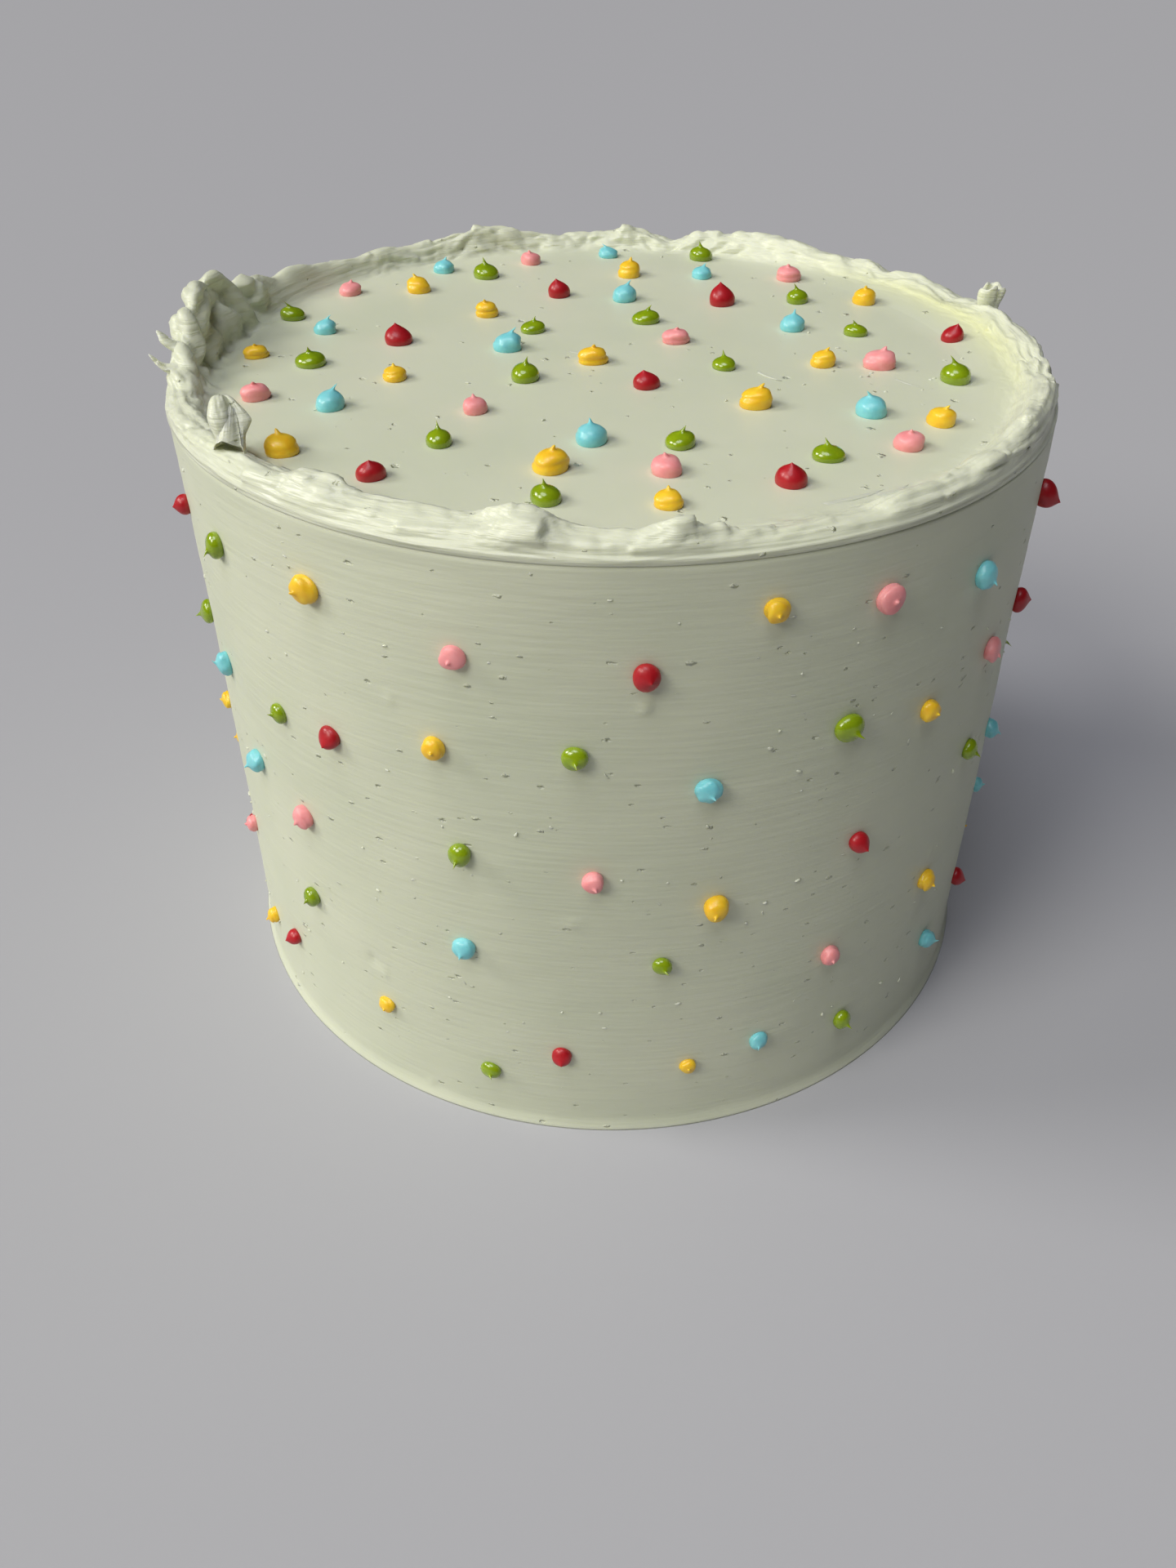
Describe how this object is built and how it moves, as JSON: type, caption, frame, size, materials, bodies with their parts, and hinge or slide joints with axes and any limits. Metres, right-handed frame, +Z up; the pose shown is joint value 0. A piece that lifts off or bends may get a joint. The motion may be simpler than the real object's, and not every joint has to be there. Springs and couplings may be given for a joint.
{
  "type": "birthday cake",
  "caption": "Tall round birthday cake in sage green buttercream, with a rough lip round its top edge and small piped dots in five colours.",
  "frame": {"origin": "centre of the cake's round foot, on the surface that it stands on", "axes": "+Z up through the cake's middle; -Y points to the side that the picture shows, +X to its right"},
  "size_m": [0.2059, 0.2054, 0.1634],
  "materials": {
    "sage_buttercream": "matte buttercream with a faint sheen, pale sage green",
    "red_buttercream": "satin, deep red",
    "pink_buttercream": "matte, soft pink",
    "yellow_buttercream": "satin, warm yellow",
    "green_buttercream": "glossy, leaf green",
    "blue_buttercream": "satin, light turquoise"
  },
  "bodies": {
    "root": {"iced_cake": "sage_buttercream"}
  },
  "joints": []
}
